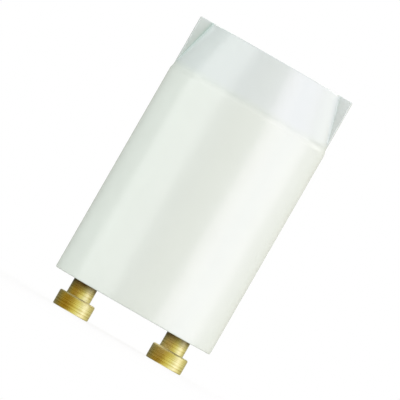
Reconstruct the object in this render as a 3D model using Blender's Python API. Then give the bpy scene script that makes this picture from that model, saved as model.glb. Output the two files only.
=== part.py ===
"""Fluorescent lamp starter: a moulded can with a gripping head, a base plate that carries two headed
contact pins, and inside it the glow switch and the suppressor capacitor.

Metres, +Z up. The pins point down and stand on the X axis. The plane z = 0 is the plane of the pin ends,
and the can's axis is the Z axis.
"""

import math

import bmesh
import bpy
from mathutils import Matrix

MM = 0.001

# Clearance that two pieces keep where one sits on, in or round the other
SEAT_GAP = 0.3 * MM

# Contact pins: the free length is measured from the pin end to the can's rim
PIN_SPACING = 12.7 * MM
PIN_FREE_LENGTH = 3.88 * MM
PIN_HEAD_RADIUS = 2.35 * MM
PIN_HEAD_HEIGHT = 1.95 * MM
PIN_NECK_RADIUS = 1.55 * MM
PIN_SHOULDER = 0.5 * MM
PIN_END_ROUND = 0.25 * MM
PIN_HEAD_ROUND = 0.3 * MM
PIN_NECK_FILLET = 0.3 * MM
RIVET_OVERHANG = 0.4 * MM
RIVET_HEIGHT = 0.6 * MM

# Moulded can: its outside stands a set distance beyond the pins' axes. The head starts at a small step,
# its two grips draw in towards the top, and its ears stand in the plane of the pins
CAN_BEYOND_PINS = 4.18 * MM
CAN_HEIGHT = 34.3 * MM
CAN_WALL = 0.9 * MM
CAN_RIM_ROUND = 0.2 * MM
HEAD_HEIGHT = 6.4 * MM
HEAD_STEP = 0.15 * MM
HEAD_LAND = 0.3 * MM
HEAD_TOP_THICKNESS = 1.2 * MM
HEAD_TOP_ROUND = 0.3 * MM
GRIP_DEPTH = 1.66 * MM
EAR_THICKNESS = 3.0 * MM
RIM_LIP_HEIGHT = 0.6 * MM
RIM_LIP_DEPTH = 0.75 * MM
STOP_RIB_COUNT = 4
STOP_RIB_DEPTH = 0.9 * MM
STOP_RIB_THICKNESS = 0.8 * MM
STOP_RIB_TOP_MARGIN = 1.5 * MM

# Base plate
PLATE_THICKNESS = 1.5 * MM
PLATE_EDGE_CHAMFER = 0.2 * MM

# Terminal tags, one riveted under each pin's inner end, with an eye for each lead
TAG_THICKNESS = 0.4 * MM
TAG_RING_WIDTH = 0.8 * MM
TAG_EYE_MARGIN = 0.5 * MM
TAG_EYE_INSET = 1.95 * MM

# Glow bulb, standing on its two lead-in wires behind the middle of the can
BULB_OFFSET = 3.4 * MM
BULB_RADIUS = 4.2 * MM
BULB_GLASS = 0.5 * MM
BULB_LENGTH = 20.0 * MM
BULB_STANDOFF = 2.6 * MM
BULB_SHOULDER_HEIGHT = 1.6 * MM
BULB_TIP_RADIUS = 0.9 * MM
BULB_TIP_HEIGHT = 1.6 * MM
PINCH_WIDTH = 5.2 * MM
PINCH_THICKNESS = 2.2 * MM
PINCH_HEIGHT = 3.4 * MM
PINCH_ROUND = 0.5 * MM
LEAD_SPACING = 2.9 * MM
LEAD_RADIUS = 0.25 * MM
LEAD_BEND_RADIUS = 0.6 * MM
LEAD_TAIL = 0.9 * MM
LEAD_RISE = 2.6 * MM

# Electrodes in the bulb: the bimetal strip is a U, and its free leg faces the fixed electrode
STRIP_THICKNESS = 0.25 * MM
STRIP_WIDTH = 1.5 * MM
STRIP_ROOT = 0.6 * MM
CONTACT_GAP = 0.6 * MM
BIMETAL_LEG = 6.5 * MM
BIMETAL_FREE_LEG = 5.0 * MM
FIXED_ELECTRODE_HEIGHT = 5.5 * MM
FIXED_ELECTRODE_LEAN = 0.2 * MM
FIXED_ELECTRODE_TIP = 1.4 * MM

# Suppressor capacitor, in front of the bulb
CAPACITOR_OFFSET = 4.5 * MM
CAPACITOR_WIDTH = 8.0 * MM
CAPACITOR_THICKNESS = 3.0 * MM
CAPACITOR_HEIGHT = 6.5 * MM
CAPACITOR_ROUND = 1.0 * MM
CAPACITOR_STANDOFF = 3.2 * MM
CAPACITOR_LEAD_SPACING = 5.0 * MM
CAPACITOR_SOCKET_DEPTH = 1.0 * MM

# Facets round each kind of piece
CAN_SEGMENTS = 72
BULB_SEGMENTS = 40
PIN_SEGMENTS = 32
HOLE_SEGMENTS = 20
ARC_STEPS = 4
DOME_STEPS = 8

# The most of a ledge that one round or fillet on it may take
ROUND_SHARE = 0.45

# How far a cutter runs past what it cuts
CUT_OVERRUN = 1.0 * MM
MERGE_DISTANCE = 0.0001 * MM
SHARP_ANGLE = math.radians(32)

# Levels that follow from the sizes above
PIN_X = PIN_SPACING / 2
CAN_RADIUS = PIN_X + CAN_BEYOND_PINS
RIM_Z = PIN_FREE_LENGTH
TOP_Z = RIM_Z + CAN_HEIGHT
HEAD_Z = TOP_Z - HEAD_HEIGHT
HEAD_RADIUS = CAN_RADIUS - HEAD_STEP
BORE_RADIUS = CAN_RADIUS - CAN_WALL
PLATE_BOTTOM = RIM_Z + RIM_LIP_HEIGHT + SEAT_GAP
PLATE_TOP = PLATE_BOTTOM + PLATE_THICKNESS
TAG_BOTTOM = PLATE_TOP + SEAT_GAP
TAG_TOP = TAG_BOTTOM + TAG_THICKNESS
RIVET_BOTTOM = TAG_TOP + SEAT_GAP
SHANK_RADIUS = PIN_NECK_RADIUS - PIN_SHOULDER
PIN_HOLE_RADIUS = SHANK_RADIUS + SEAT_GAP
LEAD_HOLE_RADIUS = LEAD_RADIUS + SEAT_GAP
TAG_EYE_X = PIN_X - TAG_EYE_INSET
LEAD_X = LEAD_SPACING / 2
PINCH_BOTTOM = TAG_TOP + BULB_STANDOFF
PINCH_TOP = PINCH_BOTTOM + PINCH_HEIGHT
BULB_TOP = PINCH_TOP + BULB_LENGTH
CAPACITOR_BOTTOM = TAG_TOP + CAPACITOR_STANDOFF


def clear_scene():
    for obj in list(bpy.data.objects):
        bpy.data.objects.remove(obj, do_unlink=True)


def material(name, colour, roughness, metallic=0.0, alpha=1.0):
    found = bpy.data.materials.new(name)
    found.use_nodes = True
    shader = found.node_tree.nodes["Principled BSDF"]
    shader.inputs["Base Color"].default_value = (*colour, 1.0)
    shader.inputs["Roughness"].default_value = roughness
    shader.inputs["Metallic"].default_value = metallic
    shader.inputs["Alpha"].default_value = alpha
    found.diffuse_color = (*colour, alpha)
    return found


def brass(name):
    return material(name, (0.72, 0.52, 0.18), 0.28, metallic=1.0)


def add_object(name, data, finish):
    obj = bpy.data.objects.new(name, data)
    bpy.context.scene.collection.objects.link(obj)
    data.materials.append(finish)
    return obj


def finish_mesh(bm, name):
    """Close the seams of a mesh, turn its faces outwards and shade its round faces smooth."""
    bmesh.ops.remove_doubles(bm, verts=bm.verts, dist=MERGE_DISTANCE)
    bmesh.ops.recalc_face_normals(bm, faces=bm.faces)
    mesh = bpy.data.meshes.new(name)
    bm.to_mesh(mesh)
    bm.free()
    mesh.shade_smooth()
    mesh.set_sharp_from_angle(angle=SHARP_ANGLE)
    return mesh


def arc(centre, radius, start, end, steps=ARC_STEPS):
    """Points on an arc in the (r, z) plane, between two angles in degrees from +r."""
    angles = [math.radians(start + (end - start) * i / steps) for i in range(steps + 1)]
    return [(centre[0] + radius * math.cos(a), centre[1] + radius * math.sin(a)) for a in angles]


def dome(radius, base, height, steps=DOME_STEPS):
    """A quarter of an ellipse in the (r, z) plane, from its rim up to the axis."""
    angles = [math.pi / 2 * i / steps for i in range(1, steps)]
    points = [(radius * math.cos(a), base + height * math.sin(a)) for a in angles]
    return [(radius, base), *points, (0.0, base + height)]


def turned(name, profile, segments, closed=False):
    """Spin an (r, z) profile once round the Z axis: open from axis to axis, or a closed ring."""
    bm = bmesh.new()
    verts = [bm.verts.new((r, 0.0, z)) for r, z in profile]
    edges = [bm.edges.new(pair) for pair in zip(verts, verts[1:])]
    if closed:
        edges.append(bm.edges.new((verts[-1], verts[0])))
    bmesh.ops.spin(
        bm, geom=verts + edges, cent=(0, 0, 0), axis=(0, 0, 1), angle=math.tau, steps=segments
    )
    return finish_mesh(bm, name)


def boxes(name, placements):
    """Boxes in one mesh, each given by its size and the matrix that places it."""
    bm = bmesh.new()
    for size, place in placements:
        bmesh.ops.create_cube(bm, size=1.0, matrix=place @ Matrix.Diagonal((*size, 1.0)))
    return finish_mesh(bm, name)


def upright_cylinders(name, centres, radii, low, high):
    """Upright cylinders in one mesh, for cutting round holes."""
    bm = bmesh.new()
    for (x, y), radius in zip(centres, radii, strict=True):
        bmesh.ops.create_cone(
            bm,
            cap_ends=True,
            segments=HOLE_SEGMENTS,
            radius1=radius,
            radius2=radius,
            depth=high - low,
            matrix=Matrix.Translation((x, y, (low + high) / 2)),
        )
    return finish_mesh(bm, name)


def helper(name, mesh):
    """An object that only cuts or joins another, and is no piece itself."""
    obj = bpy.data.objects.new(name, mesh)
    bpy.context.scene.collection.objects.link(obj)
    obj.hide_render = True
    obj.display_type = "WIRE"
    return obj


def combine(obj, other, operation):
    modifier = obj.modifiers.new(other.name, "BOOLEAN")
    modifier.object = other
    modifier.operation = operation
    modifier.solver = "EXACT"


def grip_slope():
    """How far the two conical grips of the head draw in for each metre of height."""
    return GRIP_DEPTH / (HEAD_HEIGHT - HEAD_LAND)


def grip_radius(z):
    """Radius of the grips at a height: they start just above the step, at the head's own radius."""
    return HEAD_RADIUS - GRIP_DEPTH + grip_slope() * (TOP_Z - z)


def can_profile():
    """Outside of the can: straight, then the step, then a straight head with a rounded top edge."""
    rim = arc((CAN_RADIUS - CAN_RIM_ROUND, RIM_Z + CAN_RIM_ROUND), CAN_RIM_ROUND, -90, 0)
    step = [(CAN_RADIUS, HEAD_Z - HEAD_STEP), (HEAD_RADIUS, HEAD_Z)]
    top = arc((HEAD_RADIUS - HEAD_TOP_ROUND, TOP_Z - HEAD_TOP_ROUND), HEAD_TOP_ROUND, 0, 90)
    return [(0.0, RIM_Z), *rim, *step, *top, (0.0, TOP_Z)]


def grip_cutter():
    """The ring outside the head's cone, with a slab left out of it where the two ears stand."""
    low = HEAD_Z + HEAD_LAND / 2
    high = TOP_Z + CUT_OVERRUN
    outside = CAN_RADIUS + CUT_OVERRUN
    tilt = math.atan(grip_slope())
    round_z = TOP_Z - HEAD_TOP_ROUND
    round_r = grip_radius(round_z) - HEAD_TOP_ROUND / math.cos(tilt)
    edge = arc((round_r, round_z), HEAD_TOP_ROUND, 90, math.degrees(tilt))
    profile = [(round_r, high), *edge, (grip_radius(low), low), (outside, low), (outside, high)]
    ring = helper("grip_cutter", turned("grip_cutter", profile, CAN_SEGMENTS, closed=True))
    slab_size = (2 * outside + CUT_OVERRUN, EAR_THICKNESS, 2 * HEAD_HEIGHT)
    slab = helper("ear_slab", boxes("ear_slab", [(slab_size, Matrix.Translation((0, 0, TOP_Z)))]))
    combine(ring, slab, "DIFFERENCE")
    return ring


def cavity_cutter():
    """Inside of the can: open at the rim, narrowed there by the lip that is formed over the plate."""
    mouth = BORE_RADIUS - RIM_LIP_DEPTH
    lip = RIM_Z + RIM_LIP_HEIGHT
    ceiling = TOP_Z - HEAD_TOP_THICKNESS
    cone_start = HEAD_Z - HEAD_STEP
    profile = [
        (0.0, RIM_Z - CUT_OVERRUN),
        (mouth, RIM_Z - CUT_OVERRUN),
        (mouth, lip),
        (BORE_RADIUS, lip),
        (BORE_RADIUS, cone_start),
        (grip_radius(ceiling) - CAN_WALL, ceiling),
        (0.0, ceiling),
    ]
    return helper("cavity_cutter", turned("cavity_cutter", profile, CAN_SEGMENTS))


def stop_ribs():
    """Upright ribs on the can's inner wall: their lower ends stop the base plate."""
    low = PLATE_TOP + SEAT_GAP
    high = HEAD_Z - STOP_RIB_TOP_MARGIN
    root = CAN_WALL / 2
    size = (STOP_RIB_DEPTH + root, STOP_RIB_THICKNESS, high - low)
    reach = BORE_RADIUS - STOP_RIB_DEPTH + size[0] / 2
    placements = []
    for i in range(STOP_RIB_COUNT):
        turn = Matrix.Rotation(math.tau * (i + 0.5) / STOP_RIB_COUNT, 4, "Z")
        placements.append((size, turn @ Matrix.Translation((reach, 0, (low + high) / 2))))
    return helper("stop_ribs", boxes("stop_ribs", placements))


def make_housing():
    white = material("housing", (0.9, 0.92, 0.89), 0.32)
    can = add_object("housing", turned("housing", can_profile(), CAN_SEGMENTS), white)
    combine(can, grip_cutter(), "DIFFERENCE")
    combine(can, cavity_cutter(), "DIFFERENCE")
    combine(can, stop_ribs(), "UNION")


def make_base_plate():
    radius = BORE_RADIUS - SEAT_GAP
    profile = [
        (0.0, PLATE_BOTTOM),
        (radius - PLATE_EDGE_CHAMFER, PLATE_BOTTOM),
        (radius, PLATE_BOTTOM + PLATE_EDGE_CHAMFER),
        (radius, PLATE_TOP - PLATE_EDGE_CHAMFER),
        (radius - PLATE_EDGE_CHAMFER, PLATE_TOP),
        (0.0, PLATE_TOP),
    ]
    ivory = material("base_plate", (0.86, 0.85, 0.8), 0.5)
    plate = add_object("base_plate", turned("base_plate", profile, CAN_SEGMENTS), ivory)
    holes = upright_cylinders(
        "pin_holes",
        [(-PIN_X, 0.0), (PIN_X, 0.0)],
        [PIN_HOLE_RADIUS] * 2,
        PLATE_BOTTOM - CUT_OVERRUN,
        PLATE_TOP + CUT_OVERRUN,
    )
    combine(plate, helper("pin_holes", holes), "DIFFERENCE")


def pin_profile():
    """Head, filleted neck, shoulder under the plate, shank through plate and tag, riveted end."""
    ledge = PIN_HEAD_RADIUS - PIN_NECK_RADIUS
    head_round = min(PIN_HEAD_ROUND, ROUND_SHARE * ledge)
    fillet = min(PIN_NECK_FILLET, ROUND_SHARE * ledge)
    neck_top = PLATE_BOTTOM - SEAT_GAP
    return [
        (0.0, 0.0),
        *arc((PIN_HEAD_RADIUS - PIN_END_ROUND, PIN_END_ROUND), PIN_END_ROUND, -90, 0),
        *arc((PIN_HEAD_RADIUS - head_round, PIN_HEAD_HEIGHT - head_round), head_round, 0, 90),
        *arc((PIN_NECK_RADIUS + fillet, PIN_HEAD_HEIGHT + fillet), fillet, 270, 180),
        (PIN_NECK_RADIUS, neck_top),
        (SHANK_RADIUS, neck_top),
        (SHANK_RADIUS, RIVET_BOTTOM),
        *dome(PIN_HOLE_RADIUS + RIVET_OVERHANG, RIVET_BOTTOM, RIVET_HEIGHT, ARC_STEPS),
    ]


def make_contact_pin(side, sign):
    name = f"contact_pin_{side}"
    pin = add_object(name, turned(name, pin_profile(), PIN_SEGMENTS), brass(name))
    pin.location.x = sign * PIN_X


def hull_plate(name, circles, low, high):
    """A flat plate round several circles, as their convex hull."""
    bm = bmesh.new()
    for x, y, radius in circles:
        for i in range(HOLE_SEGMENTS):
            angle = math.tau * i / HOLE_SEGMENTS
            point = (x + radius * math.cos(angle), y + radius * math.sin(angle))
            bm.verts.new((*point, low))
            bm.verts.new((*point, high))
    found = bmesh.ops.convex_hull(bm, input=bm.verts)
    inside = [v for v in found["geom_interior"] if isinstance(v, bmesh.types.BMVert)]
    bmesh.ops.delete(bm, geom=inside, context="VERTS")
    bmesh.ops.dissolve_limit(bm, angle_limit=math.radians(1), verts=bm.verts, edges=bm.edges)
    return finish_mesh(bm, name)


def make_terminal_tag(side, sign):
    name = f"terminal_tag_{side}"
    eye = LEAD_HOLE_RADIUS + TAG_EYE_MARGIN
    centres = [
        (sign * PIN_X, 0.0),
        (sign * TAG_EYE_X, BULB_OFFSET),
        (sign * TAG_EYE_X, -CAPACITOR_OFFSET),
    ]
    radii = [PIN_HOLE_RADIUS + TAG_RING_WIDTH, eye, eye]
    circles = [(x, y, r) for (x, y), r in zip(centres, radii, strict=True)]
    tag = add_object(name, hull_plate(name, circles, TAG_BOTTOM, TAG_TOP), brass(name))
    holes = upright_cylinders(
        f"tag_holes_{side}",
        centres,
        [PIN_HOLE_RADIUS, LEAD_HOLE_RADIUS, LEAD_HOLE_RADIUS],
        TAG_BOTTOM - CUT_OVERRUN,
        TAG_TOP + CUT_OVERRUN,
    )
    combine(tag, helper(f"tag_holes_{side}", holes), "DIFFERENCE")


def bulb_profile(inset):
    """Glass envelope in the (r, z) plane, drawn in from its outside by inset."""
    radius = BULB_RADIUS - inset
    shoulder = PINCH_TOP + BULB_SHOULDER_HEIGHT
    crown = BULB_TOP - BULB_TIP_HEIGHT - BULB_RADIUS
    foot = PINCH_TOP + inset
    low = [(0.0, foot)]
    low += [
        (radius * math.sin(a), shoulder - (shoulder - foot) * math.cos(a))
        for a in [math.pi / 2 * i / ARC_STEPS for i in range(1, ARC_STEPS)]
    ]
    return [*low, (radius, shoulder), *dome(radius, crown, radius)]


def make_glow_bulb():
    glass = material("glow_bulb", (0.86, 0.93, 0.93), 0.05, alpha=0.35)
    bulb = add_object("glow_bulb", turned("glow_bulb", bulb_profile(0.0), BULB_SEGMENTS), glass)
    bulb.location.y = BULB_OFFSET
    tip_base = BULB_TOP - BULB_TIP_HEIGHT - BULB_GLASS
    tip_profile = [
        (0.0, tip_base),
        *dome(BULB_TIP_RADIUS, tip_base, BULB_TOP - tip_base, ARC_STEPS),
    ]
    tip = helper("bulb_tip", turned("bulb_tip", tip_profile, HOLE_SEGMENTS))
    pinch_top = PINCH_TOP + BULB_SHOULDER_HEIGHT / 2
    pinch_size = (PINCH_WIDTH, PINCH_THICKNESS, pinch_top - PINCH_BOTTOM)
    pinch_place = Matrix.Translation((0, 0, (PINCH_BOTTOM + pinch_top) / 2))
    pinch = helper("bulb_pinch", boxes("bulb_pinch", [(pinch_size, pinch_place)]))
    soften = pinch.modifiers.new("round", "BEVEL")
    soften.width = PINCH_ROUND
    soften.segments = 2
    inside = helper("bulb_inside", turned("bulb_inside", bulb_profile(BULB_GLASS), BULB_SEGMENTS))
    channels = upright_cylinders(
        "lead_channels",
        [(-LEAD_X, 0.0), (LEAD_X, 0.0)],
        [LEAD_HOLE_RADIUS] * 2,
        PINCH_BOTTOM - CUT_OVERRUN,
        PINCH_TOP + BULB_SHOULDER_HEIGHT + BULB_GLASS,
    )
    passage = helper("lead_channels", channels)
    for part in (tip, pinch, inside, passage):
        part.location.y = BULB_OFFSET
    combine(bulb, tip, "UNION")
    combine(bulb, pinch, "UNION")
    combine(bulb, inside, "DIFFERENCE")
    combine(bulb, passage, "DIFFERENCE")


def rounded_path(points, radius, steps=ARC_STEPS):
    """A polyline in the XZ plane whose inner corners are replaced by arcs of one radius."""
    path = [points[0]]
    for before, corner, after in zip(points, points[1:], points[2:]):
        into = math.atan2(corner[1] - before[1], corner[0] - before[0])
        out = math.atan2(after[1] - corner[1], after[0] - corner[0])
        turn = math.remainder(out - into, math.tau)
        setback = radius * math.tan(abs(turn) / 2)
        side = math.copysign(math.pi / 2, turn)
        start = (corner[0] - setback * math.cos(into), corner[1] - setback * math.sin(into))
        centre = (start[0] + radius * math.cos(into + side), start[1] + radius * math.sin(into + side))
        for i in range(steps + 1):
            angle = into - side + turn * i / steps
            path.append((centre[0] + radius * math.cos(angle), centre[1] + radius * math.sin(angle)))
    return [*path, points[-1]]


def add_wire(name, path, y, finish):
    """A round wire along a path in an XZ plane."""
    curve = bpy.data.curves.new(name, "CURVE")
    curve.dimensions = "3D"
    curve.bevel_depth = LEAD_RADIUS
    curve.bevel_resolution = 2
    curve.use_fill_caps = True
    spline = curve.splines.new("POLY")
    spline.points.add(len(path) - 1)
    for point, (x, z) in zip(spline.points, path, strict=True):
        point.co = (x, y, z, 1.0)
    add_object(name, curve, finish)


def lead_path(sign, top, inner_x, start_z):
    """From a tag's eye up to a piece that stands on it, stepping inwards on the way."""
    points = [
        (sign * TAG_EYE_X, TAG_BOTTOM),
        (sign * TAG_EYE_X, TAG_TOP + LEAD_TAIL),
        (sign * inner_x, start_z - LEAD_TAIL),
        (sign * inner_x, top),
    ]
    return rounded_path(points, LEAD_BEND_RADIUS)


def make_lead_in_wire(side, sign):
    name = f"lead_in_wire_{side}"
    path = lead_path(sign, PINCH_TOP + LEAD_RISE, LEAD_X, PINCH_BOTTOM)
    add_wire(name, path, BULB_OFFSET, material(name, (0.6, 0.5, 0.42), 0.35, metallic=1.0))


def make_capacitor_lead(side, sign):
    name = f"capacitor_lead_{side}"
    top = CAPACITOR_BOTTOM + CAPACITOR_SOCKET_DEPTH - SEAT_GAP
    path = lead_path(sign, top, CAPACITOR_LEAD_SPACING / 2, CAPACITOR_BOTTOM)
    add_wire(name, path, -CAPACITOR_OFFSET, material(name, (0.7, 0.7, 0.7), 0.3, metallic=1.0))


def add_strip(name, path, finish):
    """A flat strip along a path in the bulb's XZ plane, thickened to both sides of the path."""
    bm = bmesh.new()
    rows = []
    for x, z in path:
        rows.append([bm.verts.new((x, side * STRIP_WIDTH / 2, z)) for side in (-1, 1)])
    for (a, b), (c, d) in zip(rows, rows[1:]):
        bm.faces.new((a, b, d, c))
    strip = add_object(name, finish_mesh(bm, name), finish)
    strip.location.y = BULB_OFFSET
    thicken = strip.modifiers.new("thickness", "SOLIDIFY")
    thicken.thickness = STRIP_THICKNESS
    thicken.offset = 0.0
    thicken.use_even_offset = True


def strip_offset():
    """Distance between the centre lines of a lead-in wire and the strip that is welded to it."""
    return LEAD_RADIUS + SEAT_GAP + STRIP_THICKNESS / 2


def make_bimetal_strip():
    root = PINCH_TOP + BULB_GLASS + STRIP_ROOT
    bend_z = root + BIMETAL_LEG
    outer_x = -LEAD_X - strip_offset()
    free_x = LEAD_X - strip_offset() - STRIP_THICKNESS - CONTACT_GAP
    bend = arc(((outer_x + free_x) / 2, bend_z), (free_x - outer_x) / 2, 180, 0, DOME_STEPS)
    path = [(outer_x, root), *bend, (free_x, bend_z - BIMETAL_FREE_LEG)]
    add_strip("bimetal_strip", path, material("bimetal_strip", (0.62, 0.6, 0.56), 0.3, metallic=1.0))


def make_fixed_electrode():
    root = PINCH_TOP + BULB_GLASS + STRIP_ROOT
    x = LEAD_X - strip_offset()
    tip = root + FIXED_ELECTRODE_HEIGHT
    path = [(x, root), (x, tip - FIXED_ELECTRODE_TIP), (x - FIXED_ELECTRODE_LEAN, tip)]
    steel = material("fixed_electrode", (0.6, 0.6, 0.6), 0.35, metallic=1.0)
    add_strip("fixed_electrode", path, steel)


def make_capacitor_body():
    tan = material("capacitor_body", (0.62, 0.36, 0.14), 0.45)
    size = (CAPACITOR_WIDTH, CAPACITOR_THICKNESS, CAPACITOR_HEIGHT)
    middle = Matrix.Translation((0, -CAPACITOR_OFFSET, CAPACITOR_BOTTOM + CAPACITOR_HEIGHT / 2))
    body = add_object("capacitor_body", boxes("capacitor_body", [(size, middle)]), tan)
    soften = body.modifiers.new("round", "BEVEL")
    soften.width = CAPACITOR_ROUND
    soften.segments = ARC_STEPS
    lead_x = CAPACITOR_LEAD_SPACING / 2
    sockets = upright_cylinders(
        "lead_sockets",
        [(-lead_x, -CAPACITOR_OFFSET), (lead_x, -CAPACITOR_OFFSET)],
        [LEAD_HOLE_RADIUS] * 2,
        CAPACITOR_BOTTOM - CUT_OVERRUN,
        CAPACITOR_BOTTOM + CAPACITOR_SOCKET_DEPTH,
    )
    combine(body, helper("lead_sockets", sockets), "DIFFERENCE")


def main():
    clear_scene()
    make_housing()
    make_base_plate()
    make_glow_bulb()
    make_bimetal_strip()
    make_fixed_electrode()
    make_capacitor_body()
    for side, sign in (("left", -1), ("right", 1)):
        make_contact_pin(side, sign)
        make_terminal_tag(side, sign)
        make_lead_in_wire(side, sign)
        make_capacitor_lead(side, sign)


main()
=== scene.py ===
import math

import bpy
import numpy as np
from bpy.props import FloatProperty, FloatVectorProperty, IntProperty, PointerProperty
from mathutils import Matrix, Vector


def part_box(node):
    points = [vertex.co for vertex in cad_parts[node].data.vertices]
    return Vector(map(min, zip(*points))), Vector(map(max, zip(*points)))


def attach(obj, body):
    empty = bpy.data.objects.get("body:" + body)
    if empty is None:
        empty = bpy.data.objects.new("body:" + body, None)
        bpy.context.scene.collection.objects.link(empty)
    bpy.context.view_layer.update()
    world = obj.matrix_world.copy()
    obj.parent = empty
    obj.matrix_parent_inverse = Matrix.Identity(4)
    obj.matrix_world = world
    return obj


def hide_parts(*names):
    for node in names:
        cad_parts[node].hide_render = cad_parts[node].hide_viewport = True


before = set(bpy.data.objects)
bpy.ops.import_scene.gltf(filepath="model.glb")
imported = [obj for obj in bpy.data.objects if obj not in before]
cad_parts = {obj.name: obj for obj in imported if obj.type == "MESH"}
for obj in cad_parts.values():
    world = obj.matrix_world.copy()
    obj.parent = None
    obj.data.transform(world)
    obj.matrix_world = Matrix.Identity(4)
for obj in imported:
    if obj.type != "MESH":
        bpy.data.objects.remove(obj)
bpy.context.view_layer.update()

bl_info = {
    "name": "Fluorescent starter",
    "version": (1, 0, 0),
    "blender": (4, 5, 0),
    "location": "3D View > Sidebar > Starter",
    "description": "Surfaces, finishes and studio of a white fluorescent starter with two brass pins",
    "category": "Object",
}

MM = 0.001
ROOT = "root"
SHARP_ANGLE = math.radians(35)
WHITE = (1.0, 1.0, 1.0)

CAN_LOW, CAN_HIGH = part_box("housing")
CAN_MIDDLE = (CAN_LOW.z + CAN_HIGH.z) / 2
PLATE_LOW, PLATE_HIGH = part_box("base_plate")
PINS = ("contact_pin_left", "contact_pin_right")

# Points on an ear's end, and on each of its small arcs and its flat side, in a quarter of the head's outline
EAR_POINTS = 8
BEND_POINTS = 7

# Strength of the painted shade, point by point from the end of an ear's flat side over the crease onto the
# grip
CREASE_FADE = (0.3, 1.0, 1.0, 0.9, 0.8, 0.7, 0.65, 0.6, 0.55, 0.45, 0.35, 0.2, 0.1)

# What reflections show round the starter: degrees from the camera's side towards +X, and the colour there
SURROUNDINGS = (
    (-160, (0.22, 0.22, 0.18)),
    (-131, (0.20, 0.19, 0.13)),
    (-108, (0.23, 0.20, 0.08)),
    (-75, (0.31, 0.21, 0.03)),
    (-48, (0.30, 0.19, 0.02)),
    (-23, (0.42, 0.31, 0.06)),
    (0, (0.65, 0.58, 0.16)),
    (25, (0.82, 0.83, 0.40)),
    (48, (0.98, 1.04, 0.94)),
    (70, (1.22, 1.26, 1.38)),
    (88, (1.02, 1.03, 0.92)),
    (108, (0.74, 0.74, 0.48)),
    (131, (0.56, 0.54, 0.33)),
    (160, (0.50, 0.49, 0.36)),
    (185, (0.40, 0.40, 0.34)),
    (200, (0.22, 0.22, 0.18)),
)

# The lamps round the starter. Each has its name, its direction in degrees from the camera's side towards +X,
# its distance from the axis, the height of its middle, its width and height, and its colour.
LAMPS = (
    ("key", 76.5, 0.5, CAN_MIDDLE, 0.46, 1.0, (1.0, 0.91, 0.955)),
    ("soft_key", 43.0, 0.5, CAN_MIDDLE + 0.08, 0.214, 1.0, (1.0, 0.865, 0.93)),
    ("fill", -65.3, 0.5, CAN_MIDDLE, 0.589, 1.0, WHITE),
    ("rim", 126.0, 0.46, 0.22, 0.36, 0.21, WHITE),
    ("back", 176.0, 0.38, 0.35, 0.6, 0.4, WHITE),
)


def length(name, description, default):
    """A length property in metres, shown with enough digits for tenths of a millimetre."""
    return FloatProperty(
        name=name, description=description, default=default, min=0.0, precision=5, unit="LENGTH"
    )


def colour(name, description, default):
    """A colour property with three linear channels."""
    return FloatVectorProperty(
        name=name, description=description, default=default, size=3, min=0.0, max=1.0, subtype="COLOR"
    )


def factor(name, description, default, high=1.0):
    """A share or a strength, from nothing up to high."""
    return FloatProperty(
        name=name, description=description, default=default, min=0.0, max=high, subtype="FACTOR"
    )


def lamp_power(name, description, default):
    """A lamp's power in watts."""
    return FloatProperty(name=name, description=description, default=default, min=0.0, unit="POWER")


class StarterHousing(bpy.types.PropertyGroup):
    rim_round: length("Rim round", "Rounding of the can's lower outer edge", 0.2 * MM)
    step_depth: length("Step", "How far the head stands in from the can", 0.15 * MM)
    step_height: length("Step height", "Height over which the step draws in", 0.75 * MM)
    head_height: length("Head height", "Height of the gripping head", 6.4 * MM)
    head_land: length("Head land", "Straight band between the step and the grips", 0.3 * MM)
    grip_depth: length("Grip depth", "How far the two grips draw in at the top", 1.66 * MM)
    grip_blend: length("Grip blend", "Half the height over which the grips start", 0.15 * MM)
    ear_thickness: length("Ear thickness", "Thickness of the two ears", 3.0 * MM)
    ear_round: length("Ear round", "Rounding of the ears' upright corners", 0.08 * MM)
    crease_fillet: length("Crease fillet", "Fillet between an ear and a grip", 0.08 * MM)
    top_round: length("Top round", "Rounding of the head's upper edge", 0.16 * MM)
    wall: length("Wall", "Wall thickness of the can", 0.9 * MM)
    top_thickness: length("Top thickness", "Thickness of the head's top", 1.2 * MM)
    lip_height: length("Lip height", "Height of the lip that holds the plate", 0.6 * MM)
    lip_depth: length("Lip depth", "How far the lip stands into the mouth", 0.75 * MM)
    lip_round: length("Lip round", "Rounding of the lip's inner edge", 0.15 * MM)
    rib_depth: length("Rib depth", "How far the stop ribs stand into the can", 0.9 * MM)
    rib_thickness: length("Rib thickness", "Thickness of the stop ribs", 0.8 * MM)
    rib_margin: length("Rib margin", "Distance of the ribs' upper ends below the head", 1.5 * MM)
    seat_gap: length("Seat gap", "Clearance between the ribs and the base plate", 0.3 * MM)
    body_colour: colour("Body white", "White of the can below the step", (0.703, 0.767, 0.715))
    # Painted light: the can is painted lighter towards its lower rim, fading out over the reach below
    painted_foot_light: colour("Foot white", "White of the can at its lower rim", (0.723, 0.789, 0.735))
    painted_light_reach: length("Foot reach", "How far up the can the foot white fades out", 12.0 * MM)
    collar_colour: colour("Collar white", "White of the band just above the step", (0.650, 0.718, 0.680))
    head_colour: colour("Head white", "Cooler white of the gripping head", (0.655, 0.722, 0.708))
    # Painted shade in the creases beside the ears, set stronger in the left creases than in the right
    painted_crease_shade: colour("Crease shade", "Shade in the creases beside the ears", (0.50, 0.63, 0.60))
    crease_left: factor("Left crease", "Strength of the shade in the left creases", 1.0)
    crease_right: factor("Right crease", "Strength of the shade in the right creases", 0.4)
    roughness: factor("Roughness", "Roughness of the moulded surface", 0.26)
    top_roughness: factor("Top roughness", "Roughness of the matt top face", 0.6)
    grain: factor("Grain", "Strength of the fine moulded texture", 0.3)


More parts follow.
